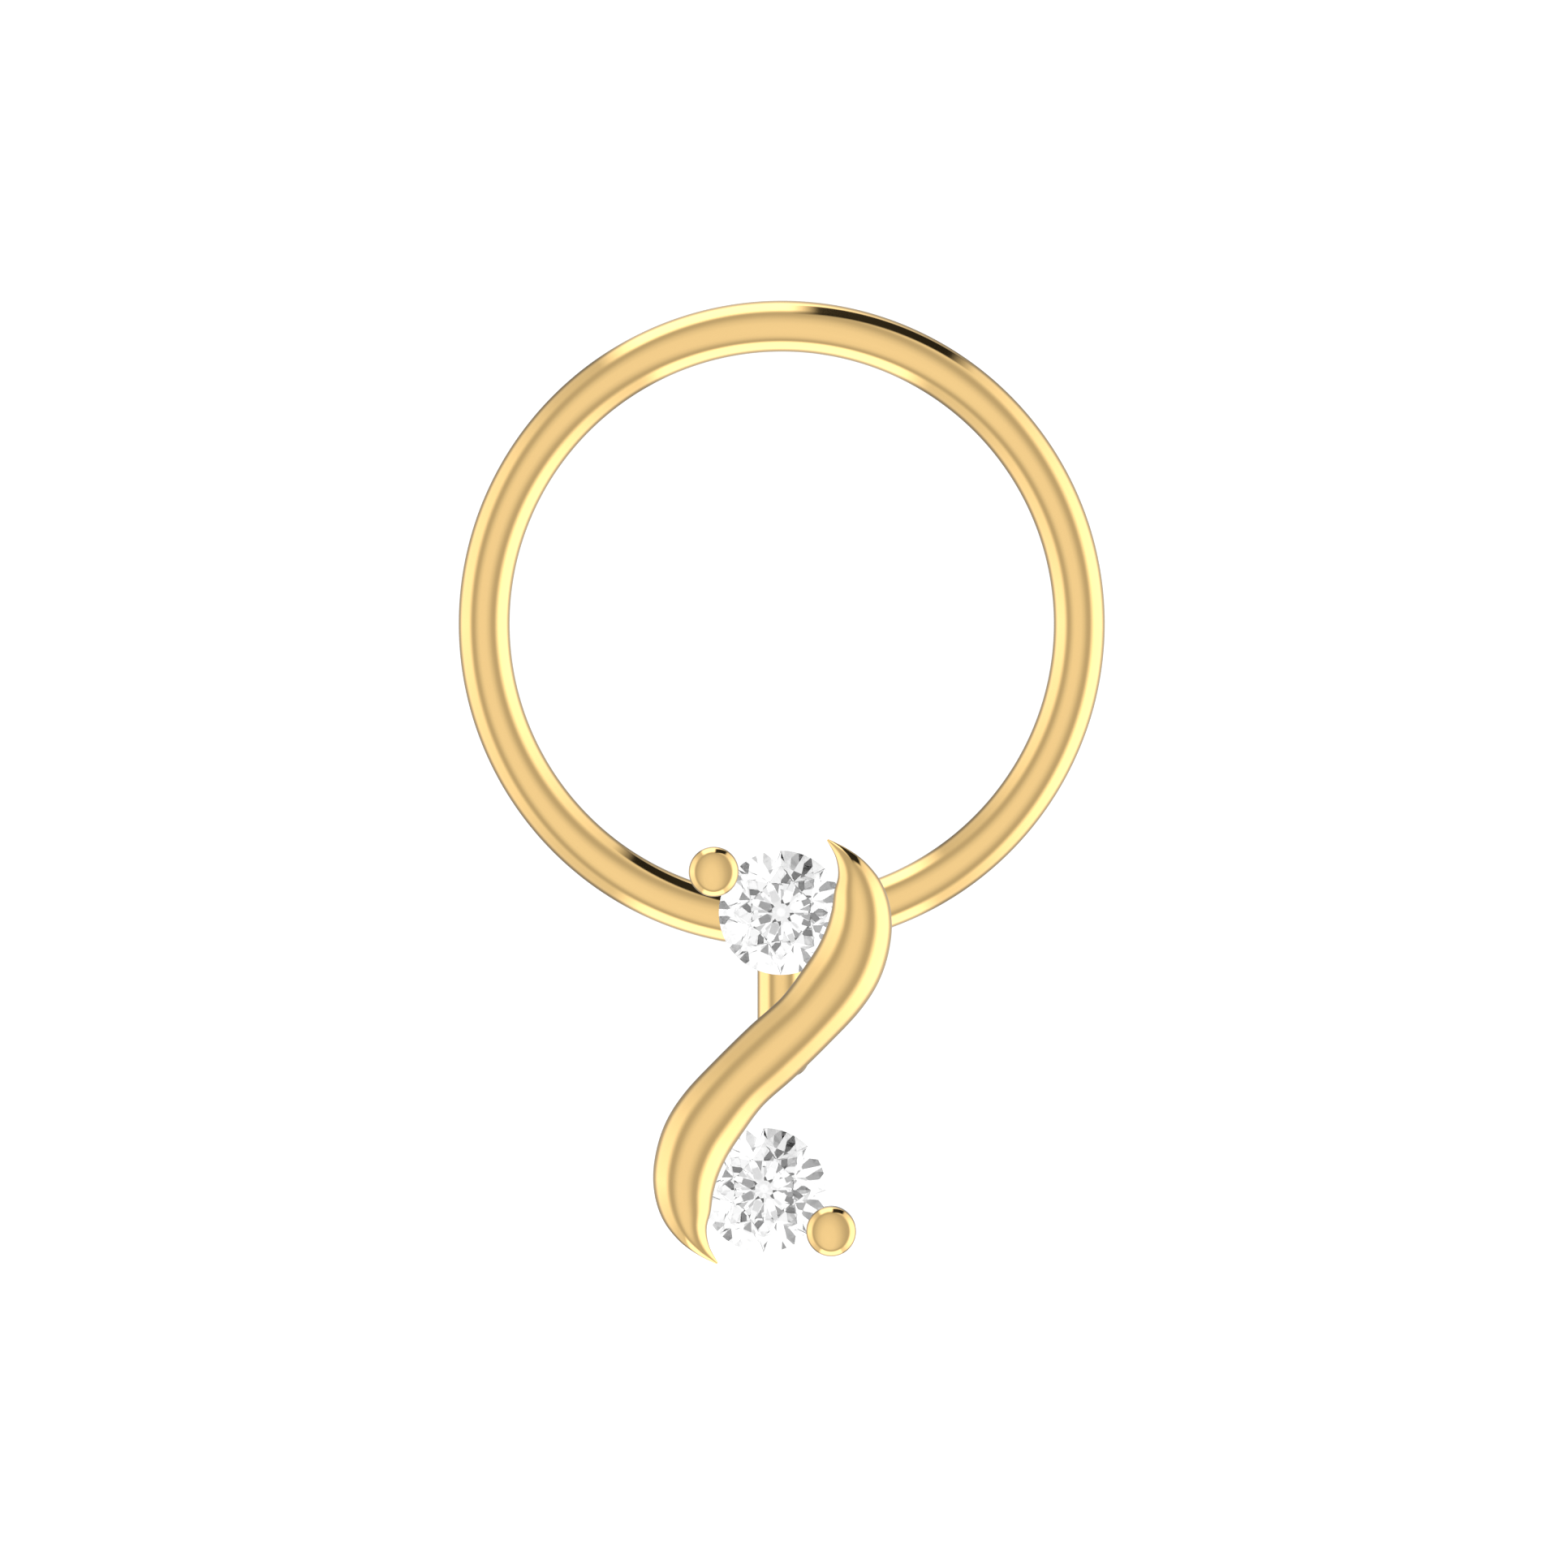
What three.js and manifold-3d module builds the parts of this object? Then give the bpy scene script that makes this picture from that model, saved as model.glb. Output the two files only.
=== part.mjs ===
// A hoop nose ring in yellow gold. A round wire hoop carries an S-shaped ribbon at its lower front,
// with a round brilliant in each hollow of the S, held between the ribbon's flank and one domed prong.
// Millimetres. The ring lies on its back: the hoop's plane is level, its front faces +Z, and +Y runs
// from the ribbon to the top of the hoop. The origin is the middle of the bounding box's base.
import * as THREE from "three";
import { mergeVertices } from "three/addons/utils/BufferGeometryUtils.js";
import { ConvexGeometry } from "three/addons/geometries/ConvexGeometry.js";
import Module from "manifold-3d";

// Hoop: 20 gauge round wire, with a plain split behind the upper stone where it is opened to wear it
const WIRE_DIAMETER = 0.81;
const HOOP_INSIDE = 8.64;
const SPLIT_ANGLE = THREE.MathUtils.degToRad(-98);
const SPLIT_GAP = 0.2;
const WIRE_SIDES = 16;
const HOOP_STEPS = 96;

// Stem: a rod behind the ribbon, from the bottom of the hoop to a slightly wider head with a round rim
const STEM_DIAMETER = 0.77;
const STEM_HEAD_DIAMETER = 0.875;
const STEM_HEAD_ROUNDING = 0.315;
const STEM_HEAD_REACH = 0.416; // past the motif's centre
const STEM_HEAD_LENGTH = 0.52;
const STEM_NECK_LENGTH = 0.25;
const STEM_AXIS_HEIGHT = 0.445;

// Motif: it looks the same when turned by half a turn about its centre
const MOTIF_X = -0.147;
const MOTIF_DROP = 6.779; // below the hoop's centre
const STONE_OFFSET = new THREE.Vector2(0.135, 2.196);
const PRONG_OFFSET = new THREE.Vector2(-0.929, 2.845);

// Ribbon: half-round bar over side walls. The rows run from its upper tip to its middle: x and y
// place the crest from the motif's centre, half is half of the width, top and back are heights.
const RIBBON_ROWS = [
  { x: 0.872, y: 3.352, half: 0.015, top: 1.98, back: 1.5 },
  { x: 1.096, y: 3.134, half: 0.118, top: 2.16, back: 1.28 },
  { x: 1.263, y: 2.875, half: 0.25, top: 2.31, back: 1.02 },
  { x: 1.353, y: 2.58, half: 0.39, top: 2.4, back: 0.8 },
  { x: 1.4, y: 2.2, half: 0.475, top: 2.44, back: 0.7 },
  { x: 1.354, y: 1.816, half: 0.525, top: 2.44, back: 0.7 },
  { x: 1.195, y: 1.38, half: 0.56, top: 2.44, back: 0.7 },
  { x: 0.93, y: 0.97, half: 0.56, top: 2.44, back: 0.7 },
  { x: 0.522, y: 0.49, half: 0.525, top: 2.44, back: 0.7 },
  { x: 0, y: 0, half: 0.54, top: 2.44, back: 0.7 },
];
const BACK_RATIO = 0.78; // the side walls lean in towards the back
const RIBBON_STEPS = 54;
const DOME_STEPS = 12;

// Brilliants: 57 facets, lengths as shares of the girdle's radius. The upper one is set with this turn.
const STONE_DIAMETER = 1.97;
const STONE_TURN = 22.5;
const GIRDLE_HEIGHT = 1.75;
const GIRDLE_THICKNESS = 0.037;
const TABLE_RADIUS = 0.517;
const CROWN_SLOPE = Math.tan(THREE.MathUtils.degToRad(37.5));
const PAVILION_SLOPE = Math.tan(THREE.MathUtils.degToRad(41.05));
const STAR_REACH = 0.54;
const LOWER_HALF_REACH = 0.797;
const SEAT_CLEARANCE = 0.03;

// Prongs: round posts with a domed tip
const PRONG_DIAMETER = 0.79;
const PRONG_TIP_RADIUS = 0.63;
const PRONG_FOOT_HEIGHT = 0.95;
const PRONG_EDGE_HEIGHT = 2.14;
const PRONG_SIDES = 24;

// Collars: tapered seat rings under the stones, each with a bridge to its prong
const COLLAR_OUTER_RADIUS = 0.93;
const COLLAR_FOOT_RADIUS = 0.8;
const COLLAR_BORE_RADIUS = 0.55;
const COLLAR_FOOT_HEIGHT = 1.0;
const COLLAR_WAIST_HEIGHT = 1.3;
const COLLAR_TOP_HEIGHT = 1.66;
const BRIDGE_WIDTH = 0.5;
const BRIDGE_TOP_HEIGHT = 1.5;

const WIRE_RADIUS = WIRE_DIAMETER / 2;
const HOOP_RADIUS = HOOP_INSIDE / 2 + WIRE_RADIUS;
const STONE_RADIUS = STONE_DIAMETER / 2;

const wasm = await Module();
wasm.setup();

function solidOf(geometry) {
  const bare = new THREE.BufferGeometry().setAttribute("position", geometry.getAttribute("position"));
  if (geometry.index) bare.setIndex(geometry.index);
  const merged = mergeVertices(bare, 1e-5);
  return new wasm.Manifold(
    new wasm.Mesh({
      numProp: 3,
      vertProperties: merged.getAttribute("position").array,
      triVerts: new Uint32Array(merged.index.array),
    }),
  );
}

function geometryOf(solid) {
  const mesh = solid.getMesh();
  const geometry = new THREE.BufferGeometry();
  geometry.setAttribute("position", new THREE.BufferAttribute(mesh.vertProperties, 3));
  geometry.setIndex(new THREE.BufferAttribute(mesh.triVerts, 1));
  return geometry;
}

// A profile of radius and height turned about the Z axis.
function turned(profile, sides) {
  return new THREE.LatheGeometry(profile, sides).rotateX(Math.PI / 2);
}

function circlePoint(radius, angle, height) {
  return new THREE.Vector3(radius * Math.cos(angle), radius * Math.sin(angle), height);
}

// The wire's section has a flat facet at the bottom, so that the hoop rests on a flat ring.
function hoop() {
  const section = [];
  const cornerRadius = WIRE_RADIUS / Math.cos(Math.PI / WIRE_SIDES);
  for (let i = 0; i <= WIRE_SIDES; i++) {
    const angle = ((i % WIRE_SIDES) + 0.5) * ((2 * Math.PI) / WIRE_SIDES);
    const outward = HOOP_RADIUS + cornerRadius * Math.cos(angle);
    section.push(new THREE.Vector2(outward, WIRE_RADIUS + cornerRadius * Math.sin(angle)));
  }
  const split = new THREE.BoxGeometry(3 * WIRE_RADIUS, SPLIT_GAP, 3 * WIRE_DIAMETER);
  split.translate(HOOP_RADIUS, 0, 0).rotateZ(SPLIT_ANGLE);
  return solidOf(turned(section, HOOP_STEPS)).subtract(solidOf(split));
}

function stem() {
  const radius = STEM_DIAMETER / 2;
  const headRadius = STEM_HEAD_DIAMETER / 2;
  const rimCentre = headRadius - STEM_HEAD_ROUNDING;
  const neckStart = STEM_HEAD_LENGTH - STEM_HEAD_REACH;
  const profile = [new THREE.Vector2(0, -STEM_HEAD_REACH)];
  const steps = 4;
  for (let i = 0; i <= steps; i++) {
    const rim = circlePoint(STEM_HEAD_ROUNDING, (Math.PI / 2) * (i / steps - 1), 0);
    profile.push(new THREE.Vector2(rimCentre + rim.x, STEM_HEAD_ROUNDING - STEM_HEAD_REACH + rim.y));
  }
  profile.push(new THREE.Vector2(headRadius, neckStart));
  profile.push(new THREE.Vector2(radius, neckStart + STEM_NECK_LENGTH));
  profile.push(new THREE.Vector2(radius, MOTIF_DROP - HOOP_RADIUS));
  profile.push(new THREE.Vector2(0, MOTIF_DROP - HOOP_RADIUS));
  const rod = new THREE.LatheGeometry(profile, WIRE_SIDES);
  return solidOf(rod.translate(0, -MOTIF_DROP, STEM_AXIS_HEIGHT));
}

// The ribbon's cross-section: a half-round top over side walls that lean in, drawn from side to side.
function ribbonSection(half, top, back) {
  const points = [new THREE.Vector2(BACK_RATIO * half, back)];
  for (let i = 0; i <= DOME_STEPS; i++) {
    const angle = (Math.PI * i) / DOME_STEPS;
    points.push(new THREE.Vector2(half * Math.cos(angle), top - half * (1 - Math.sin(angle))));
  }
  points.push(new THREE.Vector2(-BACK_RATIO * half, back));
  return points;
}

// Joins a row of sections, each a ring of points, into one closed surface.
function lofted(rings) {
  const count = rings[0].length;
  const points = rings.flat();
  const index = [];
  for (let r = 0; r + 1 < rings.length; r++) {
    for (let i = 0; i < count; i++) {
      const a = r * count + i;
      const b = r * count + ((i + 1) % count);
      index.push(a, b, b + count, a, b + count, a + count);
    }
  }
  const last = (rings.length - 1) * count;
  for (let i = 1; i + 1 < count; i++) {
    index.push(0, i + 1, i, last, last + i, last + i + 1);
  }
  return new THREE.BufferGeometry().setFromPoints(points).setIndex(index);
}

function ribbon() {
  const lowerRows = RIBBON_ROWS.slice(0, -1).reverse();
  const rows = [...RIBBON_ROWS, ...lowerRows.map((row) => ({ ...row, x: -row.x, y: -row.y }))];
  const crest = new THREE.CatmullRomCurve3(rows.map((row) => new THREE.Vector3(row.x, row.y, 0)));
  const sizes = new THREE.CatmullRomCurve3(
    rows.map((row) => new THREE.Vector3(row.half, row.top, row.back)),
    false,
    "catmullrom",
  );
  const rings = [];
  for (let i = 0; i <= RIBBON_STEPS; i++) {
    const centre = crest.getPoint(i / RIBBON_STEPS);
    const along = crest.getTangent(i / RIBBON_STEPS);
    const size = sizes.getPoint(i / RIBBON_STEPS);
    const ring = ribbonSection(size.x, size.y, size.z).map(
      (p) => new THREE.Vector3(centre.x - along.y * p.x, centre.y + along.x * p.x, p.y),
    );
    rings.push(ring);
  }
  return solidOf(lofted(rings));
}

function prong() {
  const radius = PRONG_DIAMETER / 2;
  const profile = [
    new THREE.Vector2(0, PRONG_FOOT_HEIGHT),
    new THREE.Vector2(0.7 * radius, PRONG_FOOT_HEIGHT),
    new THREE.Vector2(radius, PRONG_FOOT_HEIGHT + 0.4 * radius),
  ];
  const edgeAngle = Math.asin(radius / PRONG_TIP_RADIUS);
  const capCentre = PRONG_EDGE_HEIGHT - PRONG_TIP_RADIUS * Math.cos(edgeAngle);
  const steps = 5;
  for (let i = 0; i <= steps; i++) {
    const angle = edgeAngle * (1 - i / steps);
    const out = i === steps ? 0 : PRONG_TIP_RADIUS * Math.sin(angle);
    profile.push(new THREE.Vector2(out, capCentre + PRONG_TIP_RADIUS * Math.cos(angle)));
  }
  return solidOf(turned(profile, PRONG_SIDES).translate(PRONG_OFFSET.x, PRONG_OFFSET.y, 0));
}

function collar() {
  const profile = [
    new THREE.Vector2(COLLAR_BORE_RADIUS, COLLAR_FOOT_HEIGHT),
    new THREE.Vector2(COLLAR_FOOT_RADIUS, COLLAR_FOOT_HEIGHT),
    new THREE.Vector2(COLLAR_OUTER_RADIUS, COLLAR_WAIST_HEIGHT),
    new THREE.Vector2(COLLAR_OUTER_RADIUS, COLLAR_TOP_HEIGHT),
    new THREE.Vector2(COLLAR_BORE_RADIUS, COLLAR_TOP_HEIGHT),
    new THREE.Vector2(COLLAR_BORE_RADIUS, COLLAR_FOOT_HEIGHT),
  ];
  return solidOf(turned(profile, 2 * PRONG_SIDES).translate(STONE_OFFSET.x, STONE_OFFSET.y, 0));
}

// A short block under the girdle that ties the collar to its prong.
function bridge() {
  const reach = PRONG_OFFSET.clone().sub(STONE_OFFSET);
  const start = (COLLAR_BORE_RADIUS + COLLAR_OUTER_RADIUS) / 2;
  const height = BRIDGE_TOP_HEIGHT - COLLAR_FOOT_HEIGHT;
  const block = new THREE.BoxGeometry(reach.length() - start, BRIDGE_WIDTH, height);
  block.translate((reach.length() + start) / 2, 0, COLLAR_FOOT_HEIGHT + height / 2);
  block.rotateZ(reach.angle()).translate(STONE_OFFSET.x, STONE_OFFSET.y, 0);
  return solidOf(block);
}

// One side of a brilliant, girdle at height 0 and radius 1: corners where the main facets meet the
// flat or the point, sides where they meet each other, and a rim carried out past the girdle.
function cutHalf(flatRadius, slope, sideRadius) {
  const eighth = Math.PI / 4;
  const height = slope * (1 - flatRadius);
  const sideHeight = slope * (1 - sideRadius * Math.cos(eighth / 2));
  const rimRadius = 1.2;
  const rimHeight = ((1 - rimRadius) * sideHeight) / (1 - sideRadius);
  const points = [];
  for (let i = 0; i < 8; i++) {
    points.push(circlePoint(flatRadius, i * eighth, height));
    points.push(circlePoint(sideRadius, (i + 0.5) * eighth, sideHeight));
  }
  for (let i = 0; i < 16; i++) {
    points.push(circlePoint(rimRadius, (i * eighth) / 2, rimHeight));
    points.push(circlePoint(rimRadius, (i * eighth) / 2, -2));
  }
  return points;
}

function brilliant() {
  const tableEdge = TABLE_RADIUS * Math.cos(Math.PI / 8);
  const starRadius = tableEdge + STAR_REACH * (1 - tableEdge);
  const halfGirdle = GIRDLE_THICKNESS / 2;
  const crown = new ConvexGeometry(cutHalf(TABLE_RADIUS, CROWN_SLOPE, starRadius));
  const pavilion = new ConvexGeometry(cutHalf(0, PAVILION_SLOPE, 1 - LOWER_HALF_REACH));
  const girdle = new THREE.CylinderGeometry(1, 1, 4, 48).rotateX(Math.PI / 2);
  crown.translate(0, 0, halfGirdle);
  pavilion.rotateX(Math.PI).translate(0, 0, -halfGirdle);
  return solidOf(crown).intersect(solidOf(pavilion)).intersect(solidOf(girdle));
}

// The stone in its place in the upper hollow of the S, at its own size or grown by a clearance.
function stoneAt(cut, clearance) {
  const size = STONE_RADIUS + clearance;
  const sized = cut.rotate([0, 0, STONE_TURN]).scale([size, size, size]);
  return sized.translate(STONE_OFFSET.x, STONE_OFFSET.y, GIRDLE_HEIGHT);
}

const halfTurn = (solid) => solid.rotate([0, 0, 180]);
const toMotif = (solid) => solid.translate(MOTIF_X, -MOTIF_DROP, 0);

const cut = brilliant();
const stone = stoneAt(cut, 0);
const seat = stoneAt(cut, SEAT_CLEARANCE);
const setting = collar().add(bridge()).add(prong());
const motif = ribbon().add(setting).add(halfTurn(setting)).subtract(seat).subtract(halfTurn(seat));
const frame = hoop().add(stem()).add(toMotif(motif));
const box = frame.boundingBox();
const middle = (box.min[1] + box.max[1]) / 2;

const gold = new THREE.MeshStandardMaterial({ color: 0xf0cd8c, metalness: 1, roughness: 0.1 });
const diamond = new THREE.MeshStandardMaterial({ color: 0xf3f4f6, metalness: 0, roughness: 0.02 });

const group = new THREE.Group();
group.name = "nose_ring";

function addMesh(name, solid, material) {
  const mesh = new THREE.Mesh(geometryOf(solid.translate(0, -middle, 0)), material);
  mesh.name = name;
  group.add(mesh);
}

addMesh("gold_frame", frame, gold);
addMesh("upper_stone", toMotif(stone), diamond);
addMesh("lower_stone", toMotif(halfTurn(stone)), diamond);

export default group;
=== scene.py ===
import math

import bpy
from mathutils import Matrix, Vector
from mathutils.bvhtree import BVHTree
from mathutils.interpolate import poly_3d_calc


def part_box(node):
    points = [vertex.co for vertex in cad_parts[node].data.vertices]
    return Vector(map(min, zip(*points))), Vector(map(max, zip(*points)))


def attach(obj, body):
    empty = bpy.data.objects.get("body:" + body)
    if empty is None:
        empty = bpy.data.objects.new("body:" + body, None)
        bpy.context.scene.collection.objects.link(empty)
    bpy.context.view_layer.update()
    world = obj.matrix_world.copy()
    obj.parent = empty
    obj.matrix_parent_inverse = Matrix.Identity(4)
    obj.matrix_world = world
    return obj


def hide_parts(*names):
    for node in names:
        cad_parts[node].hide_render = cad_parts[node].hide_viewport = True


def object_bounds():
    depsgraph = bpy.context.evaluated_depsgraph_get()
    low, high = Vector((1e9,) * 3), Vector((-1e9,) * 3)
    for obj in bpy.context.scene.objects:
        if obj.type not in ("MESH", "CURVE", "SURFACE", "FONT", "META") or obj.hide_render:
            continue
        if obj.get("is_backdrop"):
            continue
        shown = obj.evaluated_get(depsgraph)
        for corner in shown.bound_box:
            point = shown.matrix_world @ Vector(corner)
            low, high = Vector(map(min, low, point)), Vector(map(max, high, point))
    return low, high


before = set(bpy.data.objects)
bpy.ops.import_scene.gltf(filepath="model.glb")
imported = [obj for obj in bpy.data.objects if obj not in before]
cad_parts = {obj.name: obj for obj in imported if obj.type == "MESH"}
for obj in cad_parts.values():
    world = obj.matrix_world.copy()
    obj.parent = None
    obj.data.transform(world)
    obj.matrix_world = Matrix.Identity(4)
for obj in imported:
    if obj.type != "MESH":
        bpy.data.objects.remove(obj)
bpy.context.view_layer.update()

# Hoop: 20 gauge round wire in 18 carat yellow gold, drawn, bent to a ring on a mandrel and polished.
# It is opened and closed at a plain split behind the upper stone, where the ends are filed round.
MM = 0.001
WIRE_RADIUS = 0.405 * MM
HOOP_RADIUS = 4.725 * MM
SPLIT_ANGLE = math.radians(-98)
SPLIT_GAP = 0.2 * MM
END_ROUNDING = 0.09 * MM

scene = bpy.context.scene
gold_low, gold_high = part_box("gold_frame")
hoop_centre = Vector((0, gold_high.y - HOOP_RADIUS - WIRE_RADIUS, WIRE_RADIUS))


def linear(hex_colour):
    """An sRGB colour such as "f0c070" as linear red, green, blue and alpha."""
    shares = [int(hex_colour[i : i + 2], 16) / 255 for i in (0, 2, 4)]
    return [s / 12.92 if s <= 0.04045 else ((s + 0.055) / 1.055) ** 2.4 for s in shares] + [1]


def add(tree, kind, inputs=None, **settings):
    """Adds a node with its settings. Its inputs are values, or sockets to link, by name or place."""
    made = tree.nodes.new(kind)
    for name, value in settings.items():
        setattr(made, name, value)
    for key, value in (inputs or {}).items():
        if isinstance(value, bpy.types.NodeSocket):
            tree.links.new(value, made.inputs[key])
        else:
            made.inputs[key].default_value = value
    return made


def new_material(name):
    """A material with its Principled shader and output, ready for its settings."""
    made = bpy.data.materials.new(name)
    made.use_nodes = True
    return made, made.node_tree, made.node_tree.nodes["Principled BSDF"]


# 18 carat yellow gold, mirror polished on a felt wheel: it reflects sharply, in a warm yellow that
# pales towards the edges. The wheel leaves waves of about 1.5 mm that bend the reflections a little.
polished_gold, nodes, shader = new_material("polished_yellow_gold")
shader.inputs["Base Color"].default_value = linear("f6d08d")
shader.inputs["Metallic"].default_value = 1
object_place = add(nodes, "ShaderNodeTexCoord").outputs["Object"]
WHEEL_WAVE = 1.5 * MM
WAVE_DEPTH = 0.006 * MM
wheel_waves = add(nodes, "ShaderNodeTexNoise", {"Vector": object_place, "Scale": 1 / WHEEL_WAVE, "Detail": 1})
wave_bump = add(
    nodes, "ShaderNodeBump", {"Height": wheel_waves.outputs[0], "Strength": 0.5, "Distance": WAVE_DEPTH}
)
nodes.links.new(wave_bump.outputs[0], shader.inputs["Normal"])
HAZE_PATCH = 0.6 * MM
CLEAREST, HAZIEST = 0.05, 0.09
haze = add(nodes, "ShaderNodeTexNoise", {"Vector": object_place, "Scale": 1 / HAZE_PATCH, "Detail": 3})
haze_amount = add(
    nodes,
    "ShaderNodeMapRange",
    {"Value": haze.outputs[0], "From Min": 0.3, "From Max": 0.7, "To Min": CLEAREST, "To Max": HAZIEST},
)
nodes.links.new(haze_amount.outputs[0], shader.inputs["Roughness"])


def new_tree(name, sizes):
    """Starts a Geometry Nodes tree with named inputs for its sizes, and gives it and its inputs."""
    tree = bpy.data.node_groups.new(name, "GeometryNodeTree")
    tree.interface.new_socket("Geometry", in_out="OUTPUT", socket_type="NodeSocketGeometry")
    tree.interface.new_socket("Geometry", in_out="INPUT", socket_type="NodeSocketGeometry")
    for label in sizes:
        tree.interface.new_socket(label, in_out="INPUT", socket_type="NodeSocketFloat")
    return tree, add(tree, "NodeGroupInput").outputs


def end_tree(tree, shape, material):
    """Ends a tree: its instances become faces, in this material."""
    realised = add(tree, "GeometryNodeRealizeInstances", {"Geometry": shape})
    painted = add(tree, "GeometryNodeSetMaterial", {"Geometry": realised.outputs[0], "Material": material})
    add(tree, "NodeGroupOutput", {0: painted.outputs[0]})


def grown(name, tree, sizes, start=None):
    """Runs a tree with these sizes, on a start mesh if it needs one, and gives a plain mesh object."""
    piece = bpy.data.objects.new(name, start or bpy.data.meshes.new(name))
    scene.collection.objects.link(piece)
    modifier = piece.modifiers.new(name, "NODES")
    modifier.node_group = tree
    for socket in tree.interface.items_tree:
        if socket.in_out == "INPUT" and socket.name in sizes:
            modifier[socket.identifier] = sizes[socket.name]
    return flattened(piece)


def flattened(piece):
    """Makes the result of a piece's modifiers its mesh, and removes them."""
    shown = piece.evaluated_get(bpy.context.evaluated_depsgraph_get())
    made = bpy.data.meshes.new_from_object(shown)
    made.name = piece.name
    piece.modifiers.clear()
    piece.data = made
    return piece


def finish_gold(piece):
    """Finishes a piece of the gold frame: it moves with the ring and stands in for the CAD solid, which is
    hidden.
    Polished pieces and stones mirror the studio and not the gold, so that each band of light stays clean."""
    piece.visible_glossy = False
    piece.visible_transmission = False
    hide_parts("gold_frame")
    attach(piece, "root")


def math_node(tree, operation, *values):
    """The result of one sum on numbers or sockets."""
    return add(tree, "ShaderNodeMath", dict(enumerate(values)), operation=operation).outputs[0]


wire_sizes = {
    "Hoop radius": HOOP_RADIUS,
    "Wire radius": WIRE_RADIUS,
    "Split angle": SPLIT_ANGLE,
    "Split gap": SPLIT_GAP,
    "End rounding": END_ROUNDING,
}
tree, sizes = new_tree("bent_wire", wire_sizes)
gap_angle = math_node(tree, "DIVIDE", sizes["Split gap"], sizes["Hoop radius"])
start_angle = math_node(tree, "MULTIPLY_ADD", gap_angle, 0.5, sizes["Split angle"])
sweep_angle = math_node(tree, "SUBTRACT", 2 * math.pi, gap_angle)
arc = add(
    tree,
    "GeometryNodeCurveArc",
    {
        "Resolution": 900,
        "Radius": sizes["Hoop radius"],
        "Start Angle": start_angle,
        "Sweep Angle": sweep_angle,
    },
)
along = add(tree, "GeometryNodeSplineParameter").outputs["Factor"]
from_end = math_node(tree, "MINIMUM", along, math_node(tree, "SUBTRACT", 1, along))
length = math_node(tree, "MULTIPLY", sweep_angle, sizes["Hoop radius"])
end_distance = math_node(tree, "MULTIPLY", from_end, length)
reach = add(
    tree,
    "ShaderNodeMapRange",
    {"Value": end_distance, "From Max": sizes["End rounding"], "To Min": 1, "To Max": 0},
)
dip = math_node(tree, "SQRT", math_node(tree, "SUBTRACT", 1, math_node(tree, "POWER", reach.outputs[0], 2)))
lost = math_node(tree, "MULTIPLY", math_node(tree, "SUBTRACT", 1, dip), sizes["End rounding"])
thickness = math_node(tree, "SUBTRACT", sizes["Wire radius"], lost)
profile = add(tree, "GeometryNodeCurvePrimitiveCircle", {"Resolution": 48, "Radius": 1})
wire = add(
    tree,
    "GeometryNodeCurveToMesh",
    {
        "Curve": arc.outputs["Curve"],
        "Profile Curve": profile.outputs["Curve"],
        "Scale": thickness,
        "Fill Caps": True,
    },
)
end_tree(tree, wire.outputs[0], polished_gold)
hoop = grown("hoop", tree, wire_sizes)
hoop.data.transform(Matrix.Translation(hoop_centre))
hoop.data.shade_smooth()
hoop.data.set_sharp_from_angle(angle=math.radians(40))
finish_gold(hoop)

# Stem: a gold rod soldered to the bottom of the hoop, which carries the motif from behind. Its free end
# is upset to a slightly wider head with a rounded rim, and shows a little below the middle of the ribbon.
STEM_RADIUS = 0.385 * MM
STEM_HEIGHT = 0.445 * MM
HEAD_RADIUS = 0.4375 * MM
HEAD_ROUNDING = 0.315 * MM
HEAD_REACH = 0.416 * MM
HEAD_LENGTH = 0.52 * MM
NECK_LENGTH = 0.25 * MM
NECK_STEPS = 12
JOINT_FILLET = 0.06 * MM
MOTIF_DROP = 6.779 * MM


def turned(name, profile, sides=96):
    """A closed solid turned about the Z axis from (radius, height) points, its first and last on it."""
    rings = profile[1:-1]
    points = [(0, 0, profile[0][1])]
    for radius, height in rings:
        for k in range(sides):
            angle = 2 * math.pi * k / sides
            points.append((radius * math.cos(angle), radius * math.sin(angle), height))
    points.append((0, 0, profile[-1][1]))
    faces = []
    for k in range(sides):
        after = (k + 1) % sides
        faces.append((0, 1 + after, 1 + k))
        for r in range(len(rings) - 1):
            low, high = 1 + r * sides, 1 + (r + 1) * sides
            faces.append((low + k, low + after, high + after, high + k))
        top = 1 + (len(rings) - 1) * sides
        faces.append((top + k, top + after, len(points) - 1))
    mesh = bpy.data.meshes.new(name)
    mesh.from_pydata(points, [], faces)
    mesh.materials.append(polished_gold)
    mesh.shade_smooth()
    mesh.set_sharp_from_angle(angle=math.radians(40))
    piece = bpy.data.objects.new(name, mesh)
    scene.collection.objects.link(piece)
    return piece


def arc_points(centre_radius, centre_height, radius, first, last, steps):
    """(radius, height) points of an arc, from one angle in degrees to another."""
    turns = [math.radians(first + (last - first) * i / steps) for i in range(steps + 1)]
    return [(centre_radius + radius * math.cos(t), centre_height + radius * math.sin(t)) for t in turns]


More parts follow.
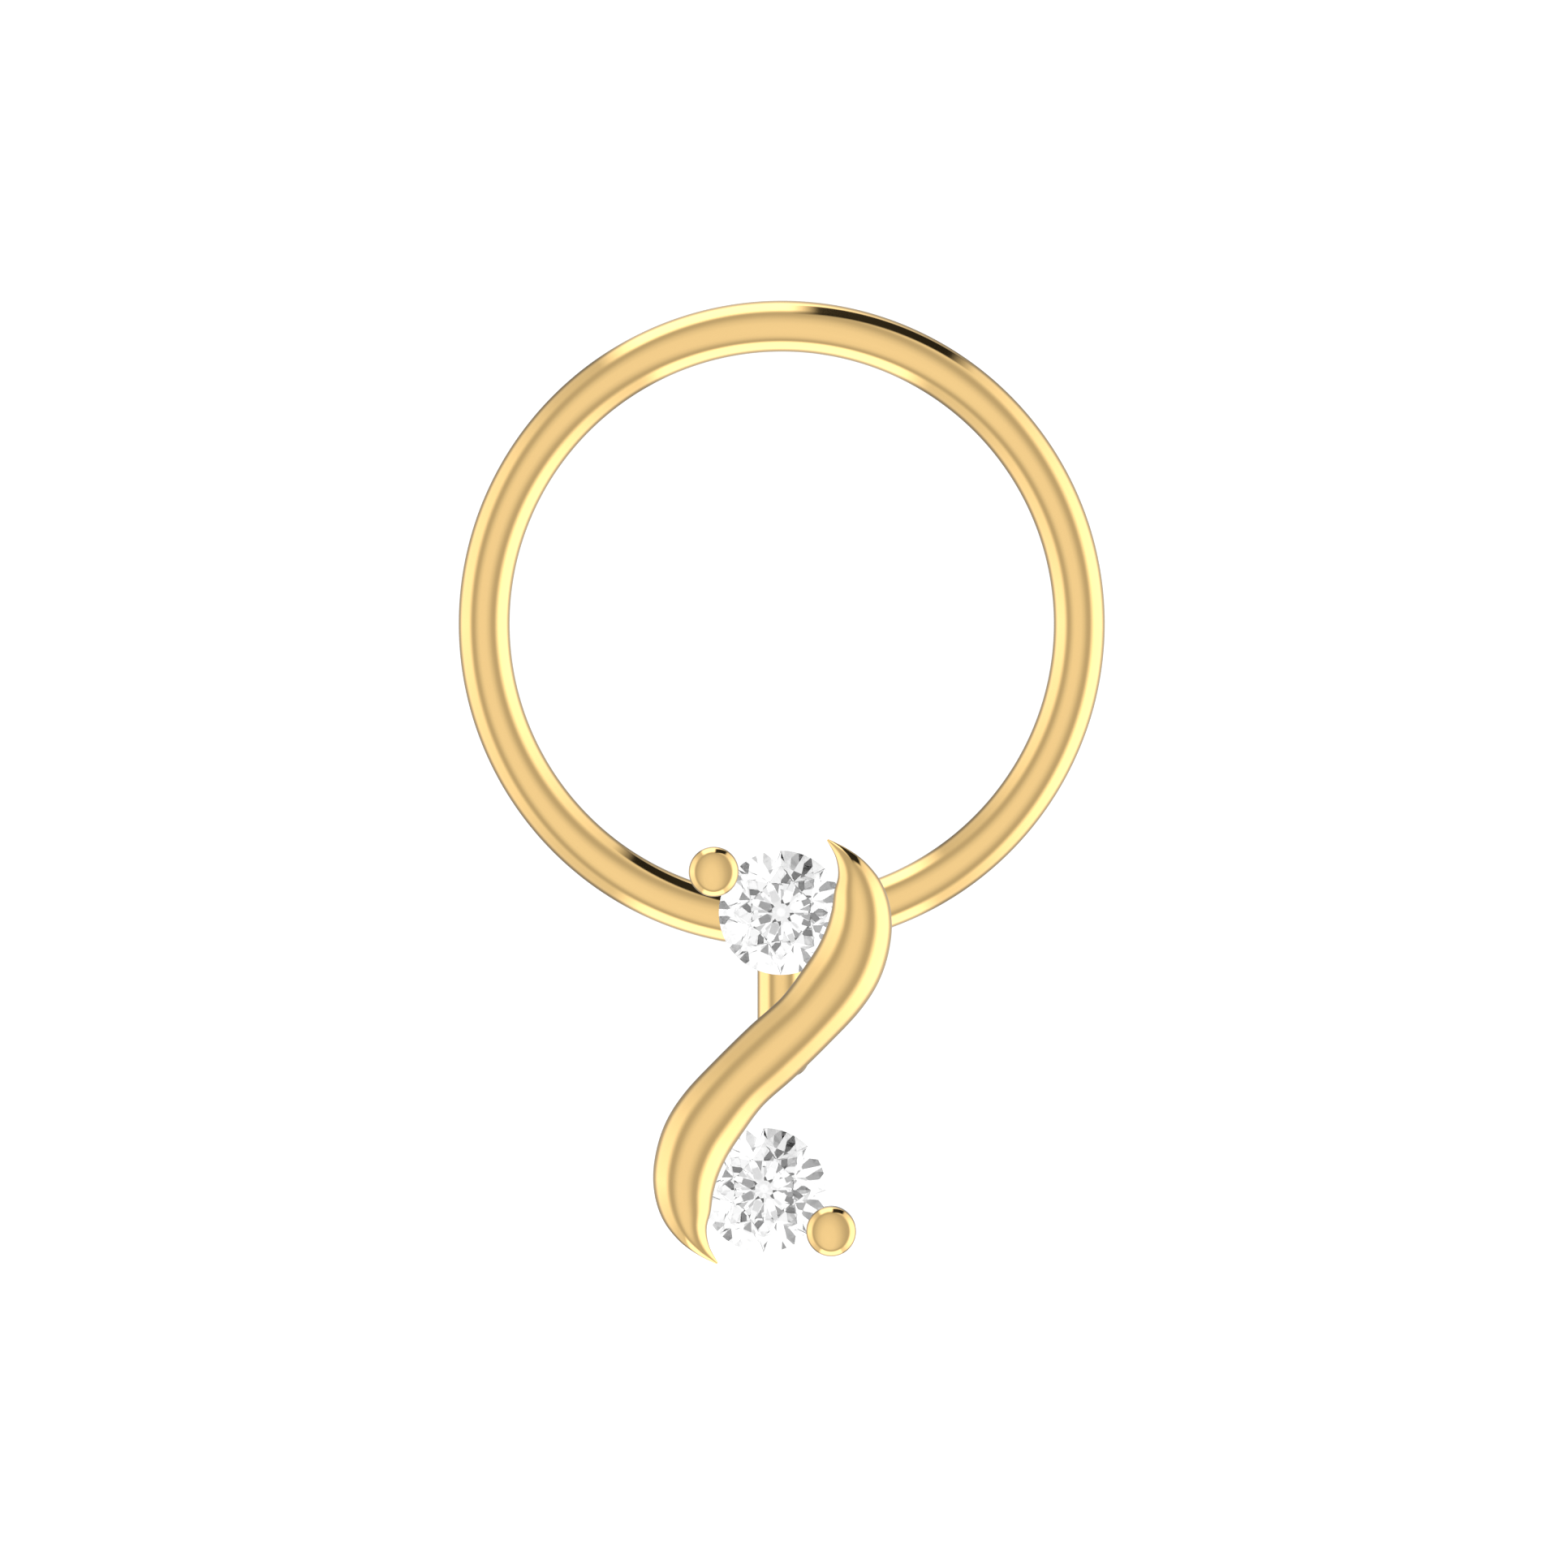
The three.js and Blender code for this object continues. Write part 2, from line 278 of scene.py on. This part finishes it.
stem_length = MOTIF_DROP - HOOP_RADIUS
joint_height = stem_length - WIRE_RADIUS
neck_start = HEAD_LENGTH - HEAD_REACH
neck = []
for i in range(NECK_STEPS + 1):
    swell = (HEAD_RADIUS - STEM_RADIUS) * (1 + math.cos(math.pi * i / NECK_STEPS)) / 2
    neck.append((STEM_RADIUS + swell, neck_start + NECK_LENGTH * i / NECK_STEPS))
stem_profile = (
    [(0, -HEAD_REACH)]
    + arc_points(HEAD_RADIUS - HEAD_ROUNDING, HEAD_ROUNDING - HEAD_REACH, HEAD_ROUNDING, -90, 0, 24)
    + neck
    + arc_points(STEM_RADIUS + JOINT_FILLET, joint_height - JOINT_FILLET, JOINT_FILLET, 180, 115, 10)
    + [(STEM_RADIUS * 0.8, stem_length), (0, stem_length)]
)
stem = turned("stem", stem_profile)
stem_place = Matrix.Translation((0, hoop_centre.y - MOTIF_DROP, STEM_HEIGHT))
stem.data.transform(stem_place @ Matrix.Rotation(math.radians(-90), 4, "X"))
finish_gold(stem)

# Ribbon: an S-shaped bar, cast in gold, half-round in front over side walls that lean in to a flat back.
# It thins to a point at both ends. Each hollow has a groove, cut with a burr, for the edge of its stone.
MOTIF_CENTRE = Vector((-0.147 * MM, hoop_centre.y - MOTIF_DROP, 0))
RIBBON_ROWS = [
    # crest x and y from the motif's centre, half of the width, crest height, back height, in mm
    (0.872, 3.352, 0.015, 1.98, 1.5),
    (1.096, 3.134, 0.118, 2.16, 1.28),
    (1.263, 2.875, 0.25, 2.31, 1.02),
    (1.353, 2.58, 0.39, 2.4, 0.8),
    (1.4, 2.2, 0.475, 2.44, 0.7),
    (1.354, 1.816, 0.525, 2.44, 0.7),
    (1.195, 1.38, 0.56, 2.44, 0.7),
    (0.93, 0.97, 0.56, 2.44, 0.7),
    (0.522, 0.49, 0.525, 2.44, 0.7),
    (0, 0, 0.54, 2.44, 0.7),
]
BACK_LEAN = 0.22
WALL_SHARE = 0.3
other_half = [(-x, -y, half, top, back) for x, y, half, top, back in RIBBON_ROWS[-2::-1]]
crest_rows = RIBBON_ROWS + other_half
crest = bpy.data.meshes.new("ribbon_crest")
crest.from_pydata(
    [MOTIF_CENTRE + Vector((x * MM, y * MM, 0)) for x, y, *_ in crest_rows],
    [(i, i + 1) for i in range(len(crest_rows) - 1)],
    [],
)
for column, label in enumerate(("half", "top", "back"), start=2):
    attribute = crest.attributes.new(label, "FLOAT", "POINT")
    attribute.data.foreach_set("value", [row[column] * MM for row in crest_rows])

tree, sizes = new_tree("cast_ribbon", ["Back lean", "Wall share"])
path = add(tree, "GeometryNodeMeshToCurve", {"Mesh": sizes["Geometry"]}).outputs[0]
smooth_path = add(tree, "GeometryNodeCurveSplineType", {"Curve": path}, spline_type="CATMULL_ROM").outputs[0]
fine_path = add(tree, "GeometryNodeResampleCurve", {"Curve": smooth_path, "Count": 420}).outputs[0]
heading = add(tree, "GeometryNodeInputTangent").outputs[0]
across = add(tree, "ShaderNodeVectorMath", {0: heading, 1: (0, 0, 1)}, operation="CROSS_PRODUCT").outputs[0]
place = add(tree, "GeometryNodeInputPosition").outputs[0]


def remember(shape, label, value, data_type="FLOAT"):
    """Stores a value on the points of a shape by name, so that the swept faces keep it."""
    kept = add(
        tree,
        "GeometryNodeStoreNamedAttribute",
        {"Geometry": shape, "Name": label, "Value": value},
        data_type=data_type,
    )
    return kept.outputs[0]


def recall(label, data_type="FLOAT"):
    """Reads a stored value."""
    return add(tree, "GeometryNodeInputNamedAttribute", {"Name": label}, data_type=data_type).outputs[0]


fine_path = remember(fine_path, "crest", place, "FLOAT_VECTOR")
fine_path = remember(fine_path, "across", across, "FLOAT_VECTOR")
round_profile = add(
    tree, "GeometryNodeCurvePrimitiveCircle", {"Resolution": 96, "Radius": 0.0001}
).outputs["Curve"]
turn = math_node(tree, "MULTIPLY", add(tree, "GeometryNodeSplineParameter").outputs["Factor"], 2 * math.pi)
round_profile = remember(round_profile, "turn", turn)
swept = add(
    tree, "GeometryNodeCurveToMesh", {"Curve": fine_path, "Profile Curve": round_profile, "Fill Caps": True}
).outputs[0]
half, top, back = recall("half"), recall("top"), recall("back")
sine = math_node(tree, "SINE", recall("turn"))
cosine = math_node(tree, "COSINE", recall("turn"))
down_wall = add(
    tree,
    "ShaderNodeMapRange",
    {"Value": math_node(tree, "MULTIPLY", sine, -1), "From Max": sizes["Wall share"]},
    interpolation_type="SMOOTHSTEP",
).outputs[0]
shoulder = math_node(tree, "SUBTRACT", top, half)
dome = math_node(tree, "MULTIPLY_ADD", math_node(tree, "MAXIMUM", sine, 0), half, shoulder)
drop = math_node(tree, "MULTIPLY", down_wall, math_node(tree, "SUBTRACT", shoulder, back))
height = math_node(tree, "SUBTRACT", dome, drop)
narrowing = math_node(tree, "SUBTRACT", 1, math_node(tree, "MULTIPLY", down_wall, sizes["Back lean"]))
reach = math_node(tree, "MULTIPLY", math_node(tree, "MULTIPLY", cosine, narrowing), half)
sideways = add(
    tree,
    "ShaderNodeVectorMath",
    {0: recall("across", "FLOAT_VECTOR"), "Scale": reach},
    operation="SCALE",
).outputs[0]
upwards = add(tree, "ShaderNodeCombineXYZ", {"Z": height}).outputs[0]
flat_place = add(
    tree, "ShaderNodeVectorMath", {0: recall("crest", "FLOAT_VECTOR"), 1: sideways}, operation="ADD"
).outputs[0]
full_place = add(tree, "ShaderNodeVectorMath", {0: flat_place, 1: upwards}, operation="ADD").outputs[0]
shaped = add(tree, "GeometryNodeSetPosition", {"Geometry": swept, "Position": full_place}).outputs[0]
end_tree(tree, shaped, polished_gold)
ribbon = grown("ribbon", tree, {"Back lean": BACK_LEAN, "Wall share": WALL_SHARE}, start=crest)

# Seats: the grooves for the stones' edges, cut into ribbon, prongs and collars with a burr that has the
# stone's own angles, so that the girdle is held from above and below all along the groove.
STONE_RADIUS = 0.985 * MM
GIRDLE_HEIGHT = 1.75 * MM
GIRDLE_SHARE = 0.037
TABLE_SHARE = 0.517
SEAT_ROOM = 0.008 * MM
SAME_SURFACE = 0.002 * MM
CROWN_SLOPE = math.tan(math.radians(37.5))
PAVILION_SLOPE = math.tan(math.radians(41.05))
stone_centres = []
for stone_name in ("upper_stone", "lower_stone"):
    low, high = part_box(stone_name)
    stone_centres.append(Vector(((low.x + high.x) / 2, (low.y + high.y) / 2, 0)))

burr_radius = STONE_RADIUS + SEAT_ROOM
half_girdle = GIRDLE_SHARE / 2 * STONE_RADIUS + SEAT_ROOM
burr_top = GIRDLE_HEIGHT + half_girdle + (1 - TABLE_SHARE) * burr_radius * CROWN_SLOPE
burr = [
    (0, GIRDLE_HEIGHT - half_girdle - burr_radius * PAVILION_SLOPE),
    (burr_radius, GIRDLE_HEIGHT - half_girdle),
    (burr_radius, GIRDLE_HEIGHT + half_girdle),
    (TABLE_SHARE * STONE_RADIUS, burr_top),
    (0, burr_top),
]
burrs = []
for centre in stone_centres:
    cutter = turned("burr", burr)
    cutter.data.transform(Matrix.Translation(centre))
    burrs.append(cutter)


def cut_seats(piece):
    """Cuts the grooves for both stones' edges into a piece. Beside a groove the polish stays as it was:
    a face that lies on the uncut surface keeps that surface's own smooth normals."""
    uncut = piece.data.copy()
    surface = BVHTree.FromPolygons([v.co for v in uncut.vertices], [p.vertices for p in uncut.polygons])
    smooth = [c.vector.copy() for c in uncut.corner_normals]
    for cutter in burrs:
        modifier = piece.modifiers.new("seat", "BOOLEAN")
        modifier.object = cutter
        modifier.solver = "EXACT"
    flattened(piece)
    mesh = piece.data
    mesh.shade_smooth()
    mesh.set_sharp_from_angle(angle=math.radians(32))
    kept = [c.vector.copy() for c in mesh.corner_normals]
    for face in mesh.polygons:
        for loop in face.loop_indices:
            place = mesh.vertices[mesh.loops[loop].vertex_index].co
            inwards = place.lerp(face.center, 0.02)
            hit, facing, index, gap = surface.find_nearest(inwards)
            if gap > SAME_SURFACE or facing.dot(face.normal) < 0.9:
                continue
            old = uncut.polygons[index]
            corners = [uncut.vertices[i].co for i in old.vertices]
            shares = poly_3d_calc(corners, hit)
            kept[loop] = sum((smooth[i] * w for i, w in zip(old.loop_indices, shares)), Vector()).normalized()
    mesh.normals_split_custom_set(kept)
    bpy.data.meshes.remove(uncut)


cut_seats(ribbon)
finish_gold(ribbon)

# Prongs: two round gold posts, one beside each stone, with a tip rounded by a cup burr.
# Each is notched over the edge of its stone.
PRONG_RADIUS = 0.395 * MM
PRONG_CROWN_RADIUS = 0.753 * MM
PRONG_SHOULDER_RADIUS = 0.195 * MM
PRONG_FOOT = 0.95 * MM
PRONG_TOP = 2.275 * MM
PRONG_OFFSET = Vector((-0.929 * MM, 2.845 * MM, 0))
STONE_OFFSET = Vector((0.135 * MM, 2.196 * MM, 0))

shoulder_centre = PRONG_RADIUS - PRONG_SHOULDER_RADIUS
between_centres = PRONG_CROWN_RADIUS - PRONG_SHOULDER_RADIUS
shoulder_tilt = math.degrees(math.asin(shoulder_centre / between_centres))
crown_centre = PRONG_TOP - PRONG_CROWN_RADIUS
shoulder_height = crown_centre + between_centres * math.cos(math.radians(shoulder_tilt))
prong_profile = (
    [(0, PRONG_FOOT), (PRONG_RADIUS * 0.7, PRONG_FOOT), (PRONG_RADIUS, PRONG_FOOT + 0.4 * PRONG_RADIUS)]
    + arc_points(shoulder_centre, shoulder_height, PRONG_SHOULDER_RADIUS, 0, 90 - shoulder_tilt, 20)
    + arc_points(0, crown_centre, PRONG_CROWN_RADIUS, 90 - shoulder_tilt, 89, 16)[1:]
    + [(0, PRONG_TOP)]
)
prong = turned("prong", prong_profile)
prong.data.transform(Matrix.Translation(PRONG_OFFSET))

tree, sizes = new_tree("both_hollows", ["Centre X", "Centre Y"])
half_turned = add(
    tree, "GeometryNodeTransform", {"Geometry": sizes["Geometry"], "Rotation": (0, 0, math.pi)}
).outputs[0]
pair = add(tree, "GeometryNodeJoinGeometry")
tree.links.new(sizes["Geometry"], pair.inputs[0])
tree.links.new(half_turned, pair.inputs[0])
centre_point = add(tree, "ShaderNodeCombineXYZ", {"X": sizes["Centre X"], "Y": sizes["Centre Y"]}).outputs[0]
placed = add(
    tree, "GeometryNodeTransform", {"Geometry": pair.outputs[0], "Translation": centre_point}
).outputs[0]
end_tree(tree, placed, polished_gold)
both_hollows = tree


def paired(name, single):
    """Repeats a piece of the upper hollow in the lower one, by half a turn about the motif's centre."""
    centre = {"Centre X": MOTIF_CENTRE.x, "Centre Y": MOTIF_CENTRE.y}
    made = grown(name, both_hollows, centre, start=single.data)
    bpy.data.objects.remove(single)
    return made


prongs = paired("prongs", prong)
cut_seats(prongs)
finish_gold(prongs)


# Collars: a tapered seat ring of gold under each stone, with a short bar that is soldered to the prong
# beside it. They hold the stone from below and can only be seen from the back and the sides.
# distance from the stone's axis and height, in mm
COLLAR_OUTLINE = [(0.55, 1.0), (0.8, 1.0), (0.93, 1.3), (0.93, 1.66), (0.55, 1.66)]
COLLAR_ROUNDING = 0.03 * MM
COLLAR_SIDES = 96
BAR_START = 0.74 * MM
BAR_WIDTH = 0.5 * MM
BAR_LOW, BAR_HIGH = 1.0 * MM, 1.5 * MM
BAR_ROUNDING = 0.07 * MM


def as_gold(name, points, faces):
    """A gold piece from its points and faces, smooth but for its real edges."""
    mesh = bpy.data.meshes.new(name)
    mesh.from_pydata(points, [], faces)
    mesh.materials.append(polished_gold)
    mesh.shade_smooth()
    mesh.set_sharp_from_angle(angle=math.radians(40))
    piece = bpy.data.objects.new(name, mesh)
    scene.collection.objects.link(piece)
    return piece


def rounded(piece, width):
    """Rounds all edges of a piece, as a polishing wheel does."""
    modifier = piece.modifiers.new("polish", "BEVEL")
    modifier.width, modifier.segments, modifier.limit_method = width, 4, "ANGLE"
    flattened(piece)
    piece.data.shade_smooth()
    return piece


outline_count = len(COLLAR_OUTLINE)
ring_points, ring_faces = [], []
for k in range(COLLAR_SIDES):
    angle = 2 * math.pi * k / COLLAR_SIDES
    ring_points += [(r * MM * math.cos(angle), r * MM * math.sin(angle), h * MM) for r, h in COLLAR_OUTLINE]
    here, after = k * outline_count, (k + 1) % COLLAR_SIDES * outline_count
    for i in range(outline_count):
        j = (i + 1) % outline_count
        ring_faces.append((here + i, here + j, after + j, after + i))
collar = as_gold("collar", ring_points, ring_faces)
collar.data.flip_normals()
collar.data.transform(Matrix.Translation(STONE_OFFSET))
rounded(collar, COLLAR_ROUNDING)

to_prong = PRONG_OFFSET - STONE_OFFSET
bar_corners = [
    (x, y, z)
    for x in (BAR_START, to_prong.length)
    for y in (-BAR_WIDTH / 2, BAR_WIDTH / 2)
    for z in (BAR_LOW, BAR_HIGH)
]
bar_faces = [(0, 1, 3, 2), (4, 6, 7, 5), (0, 4, 5, 1), (2, 3, 7, 6), (0, 2, 6, 4), (1, 5, 7, 3)]
bar = as_gold("bar", bar_corners, bar_faces)
bar_turn = Matrix.Rotation(math.atan2(to_prong.y, to_prong.x), 4, "Z")
bar.data.transform(Matrix.Translation(STONE_OFFSET) @ bar_turn)
rounded(bar, BAR_ROUNDING)

collars = paired("collars", collar)
cut_seats(collars)
finish_gold(collars)
bars = paired("bars", bar)
finish_gold(bars)
for cutter in burrs:
    bpy.data.objects.remove(cutter)

# Stones: two colourless round brilliants with 57 facets, cut and polished flat, held by the girdle.
# They bend light strongly, so that most of what is seen through the crown is light turned back inside.
# The gold mirrors the studio past them, so that its bands of light stay clean along the stones.
brilliant, nodes, shader = new_material("polished_brilliant")
shader.inputs["Base Color"].default_value = linear("ffffff")
shader.inputs["Roughness"].default_value = 0
shader.inputs["IOR"].default_value = 2.417
shader.inputs["Transmission Weight"].default_value = 1
ray = add(nodes, "ShaderNodeLightPath").outputs
outside_ray = math_node(nodes, "LESS_THAN", ray["Transmission Depth"], 0.5)
from_gold = math_node(nodes, "MULTIPLY", ray["Is Glossy Ray"], outside_ray)
unseen = add(nodes, "ShaderNodeBsdfTransparent").outputs[0]
passed = add(nodes, "ShaderNodeMixShader", {0: from_gold, 1: shader.outputs[0], 2: unseen}).outputs[0]
nodes.links.new(passed, nodes.nodes["Material Output"].inputs["Surface"])
for stone_name in ("upper_stone", "lower_stone"):
    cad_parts[stone_name].material_slots[0].material = brilliant

# Light table: a sheet of white opal glass, lit evenly from below, so that the ring lies on plain white
# without a shadow. The gold doesn't mirror it, and from below it is clear, so that the back can be seen.
FLOOR_SIZE = 4.0
TABLE_GLOW = 0.9
floor_mesh = bpy.data.meshes.new("light_table")
floor_corners = [(x * FLOOR_SIZE / 2, y * FLOOR_SIZE / 2, 0) for x, y in ((-1, -1), (1, -1), (1, 1), (-1, 1))]
floor_mesh.from_pydata(floor_corners, [], [(0, 1, 2, 3)])
floor = bpy.data.objects.new("light_table", floor_mesh)
scene.collection.objects.link(floor)
table_top = bpy.data.materials.new("white_light_table")
table_top.use_nodes = True
nodes = table_top.node_tree
nodes.nodes.clear()
white = add(nodes, "ShaderNodeBsdfDiffuse", {"Color": linear("b4b4b4")}).outputs[0]
glow = add(nodes, "ShaderNodeEmission", {"Color": linear("ffffff"), "Strength": TABLE_GLOW}).outputs[0]
lit = add(nodes, "ShaderNodeAddShader", {0: white, 1: glow}).outputs[0]
below = add(nodes, "ShaderNodeNewGeometry").outputs["Backfacing"]
clear = add(nodes, "ShaderNodeBsdfTransparent").outputs[0]
one_sided = add(nodes, "ShaderNodeMixShader", {0: below, 1: lit, 2: clear}).outputs[0]
add(nodes, "ShaderNodeOutputMaterial", {0: one_sided})
floor_mesh.materials.append(table_top)
floor.visible_glossy = False
floor.visible_shadow = False
floor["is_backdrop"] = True


# Studio light: a dome of soft light over and round the ring. It is brightest overhead, fades to a dim
# ring, and gives way to four bright walls with dimmer corners. A black flag stands right of the top.
# Rings of dark cards are seen through the stones alone: they make their facets stand out.
# angle from the dome's top in degrees, brightness
OVERHEAD = [(0, 1.0), (20, 0.96), (31, 0.83), (38, 0.7), (45, 0.59), (52, 0.57)]
# bearing in degrees, clockwise from the top of the picture, brightness
WALLS = [
    (0, 2.0),
    (34, 0.9),
    (45, 1.12),
    (61, 1.5),
    (80, 1.75),
    (119, 1.75),
    (135, 1.4),
    (144, 1.1),
    (150, 1.05),
    (155, 1.85),
    (205, 1.85),
    (212, 0.85),
    (225, 0.9),
    (238, 1.1),
    (250, 1.2),
    (270, 1.45),
    (288, 1.3),
    (300, 1.15),
    (315, 0.8),
    (325, 0.72),
    (333, 2.0),
    (360, 2.0),
]
# angle from straight up in degrees, share of the wall's brightness
BELOW = [(90, 1.0), (116, 1.0), (126, 0.8), (136, 0.45), (150, 0.33), (180, 0.3)]
DIM_RING_X, DIM_RING_Y = 0.877, 1.65
SHIFT_X, SHIFT_Y = 0.123, 0.355
FLAG_FROM, FLAG_TO = 4, 34.5
FLAG_HIGH, FLAG_LOW, FLAG_LEAN = 60, 112, 0.7
FLAG_SIDE_SOFTNESS, FLAG_EDGE_SOFTNESS = 2.5, 4
FLAG_DARKNESS = 0.98
WALLS_FROM, WALLS_FULL = 52, 78
BACKDROP_LIGHT = 1.1
# rings of equal cards: their angle from straight up, how many, the first one's bearing, half of a width
CARD_RINGS = [(16, 4, 20, 5), (32, 7, 40, 6), (50, 9, 10, 6), (70, 9, 30, 8)]
CARD_SOFTNESS = 0.3
TENT_LIGHT = 1.02


def levels(tree, value, stops, full):
    """A ramp that gives a brightness from a value between 0 and full. Its colours hold halves."""
    ramp_node = add(tree, "ShaderNodeValToRGB", {0: math_node(tree, "DIVIDE", value, full)})
    ramp = ramp_node.color_ramp
    ramp.elements[0].position, ramp.elements[1].position = stops[0][0] / full, stops[-1][0] / full
    for position, _ in stops[1:-1]:
        ramp.elements.new(position / full)
    for element, (_, level) in zip(ramp.elements, stops):
        element.color = (level / 2, level / 2, level / 2, 1)
    return math_node(tree, "MULTIPLY", ramp_node.outputs[0], 2)


world = bpy.data.worlds.new("studio")
scene.world = world
world.use_nodes = True
nodes = world.node_tree
nodes.nodes.clear()
direction = add(nodes, "ShaderNodeTexCoord").outputs["Generated"]
parts = add(nodes, "ShaderNodeSeparateXYZ", {0: direction}).outputs
x, y, z = parts["X"], parts["Y"], parts["Z"]
across_x = math_node(nodes, "DIVIDE", math_node(nodes, "MULTIPLY_ADD", z, SHIFT_X, x), DIM_RING_X)
across_y = math_node(nodes, "DIVIDE", math_node(nodes, "MULTIPLY_ADD", z, SHIFT_Y, y), DIM_RING_Y)
spread = math_node(
    nodes,
    "SQRT",
    math_node(nodes, "ADD", math_node(nodes, "POWER", across_x, 2), math_node(nodes, "POWER", across_y, 2)),
)
from_dome_top = math_node(nodes, "DEGREES", math_node(nodes, "ARCTAN2", spread, z))
from_zenith = math_node(nodes, "DEGREES", math_node(nodes, "ARCCOSINE", z))
signed_bearing = math_node(nodes, "DEGREES", math_node(nodes, "ARCTAN2", x, y))
bearing = math_node(nodes, "MODULO", math_node(nodes, "ADD", signed_bearing, 360), 360)
overhead = levels(nodes, from_dome_top, OVERHEAD, 180)
walls = math_node(
    nodes, "MULTIPLY", levels(nodes, bearing, WALLS, 360), levels(nodes, from_zenith, BELOW, 180)
)
wall_share = add(
    nodes,
    "ShaderNodeMapRange",
    {"Value": from_dome_top, "From Min": WALLS_FROM, "From Max": WALLS_FULL},
    interpolation_type="SMOOTHSTEP",
).outputs[0]


def between(value, first, last, edge):
    """1 where a value lies between two others, with soft edges."""
    risen = {"Value": value, "From Min": first - edge, "From Max": first + edge}
    fallen = {"Value": value, "From Min": last + edge, "From Max": last - edge}
    rise = add(nodes, "ShaderNodeMapRange", risen)
    fall = add(nodes, "ShaderNodeMapRange", fallen)
    return math_node(nodes, "MULTIPLY", rise.outputs[0], fall.outputs[0])


along_flag = math_node(nodes, "SUBTRACT", bearing, FLAG_FROM)
leaned = math_node(nodes, "MULTIPLY_ADD", along_flag, -FLAG_LEAN, from_zenith)
flag_sides = between(bearing, FLAG_FROM, FLAG_TO, FLAG_SIDE_SOFTNESS)
flag_edges = between(leaned, FLAG_HIGH, FLAG_LOW, FLAG_EDGE_SOFTNESS)
flag = math_node(nodes, "MULTIPLY", flag_sides, flag_edges)
unflagged = math_node(nodes, "SUBTRACT", 1, math_node(nodes, "MULTIPLY", flag, FLAG_DARKNESS))
dome_light = add(nodes, "ShaderNodeMix", {0: wall_share, 2: overhead, 3: walls}).outputs[0]
light = math_node(nodes, "MULTIPLY", dome_light, unflagged)
tent = TENT_LIGHT
for card_angle, card_count, first_bearing, card_half in CARD_RINGS:
    tilt = math.radians(card_angle)
    rim, core = (math.cos(math.radians(card_half * (1 + side * CARD_SOFTNESS))) for side in (1, -1))
    for number in range(card_count):
        turn = math.radians(first_bearing + 360 * number / card_count)
        towards = (math.sin(tilt) * math.sin(turn), math.sin(tilt) * math.cos(turn), math.cos(tilt))
        nearness = add(nodes, "ShaderNodeVectorMath", {0: direction, 1: towards}, operation="DOT_PRODUCT")
        left = add(
            nodes,
            "ShaderNodeMapRange",
            {"Value": nearness.outputs["Value"], "From Min": rim, "From Max": core, "To Min": 1, "To Max": 0},
        )
        tent = math_node(nodes, "MULTIPLY", tent, left.outputs[0])
ray = add(nodes, "ShaderNodeLightPath").outputs
inside, through, outside = (
    add(nodes, "ShaderNodeBackground", {"Color": linear("ffffff"), "Strength": strength}).outputs[0]
    for strength in (light, tent, BACKDROP_LIGHT)
)
mixed = add(nodes, "ShaderNodeMixShader", {0: ray["Is Transmission Ray"], 1: inside, 2: through}).outputs[0]
mixed = add(nodes, "ShaderNodeMixShader", {0: ray["Is Camera Ray"], 1: mixed, 2: outside}).outputs[0]
add(nodes, "ShaderNodeOutputWorld", {0: mixed})

# Camera: straight above the ring through a long lens, so that it looks flat, as in a catalogue picture.
# The picture's centre lies close to the middle of the ring's box.
CAMERA_HEIGHT = 0.45
PICTURE_WIDTH = 24.92 * MM
PICTURE_X, PICTURE_Y = 0.036 * MM, -0.039 * MM
SENSOR_WIDTH = 36
camera_data = bpy.data.cameras.new("camera")
camera_data.sensor_width = SENSOR_WIDTH
camera_data.lens = SENSOR_WIDTH * CAMERA_HEIGHT / PICTURE_WIDTH
camera_data.clip_start, camera_data.clip_end = 0.01, 10
camera = bpy.data.objects.new("camera", camera_data)
camera.location = (PICTURE_X, PICTURE_Y, CAMERA_HEIGHT)
scene.collection.objects.link(camera)
scene.camera = camera

scene.view_settings.view_transform = "Standard"
scene.cycles.max_bounces = 32
scene.cycles.transmission_bounces = 32
scene.cycles.glossy_bounces = 12
scene.cycles.transparent_max_bounces = 16
scene.cycles.caustics_reflective = False
scene.cycles.caustics_refractive = False
scene.cycles.use_denoising = True

low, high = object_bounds()
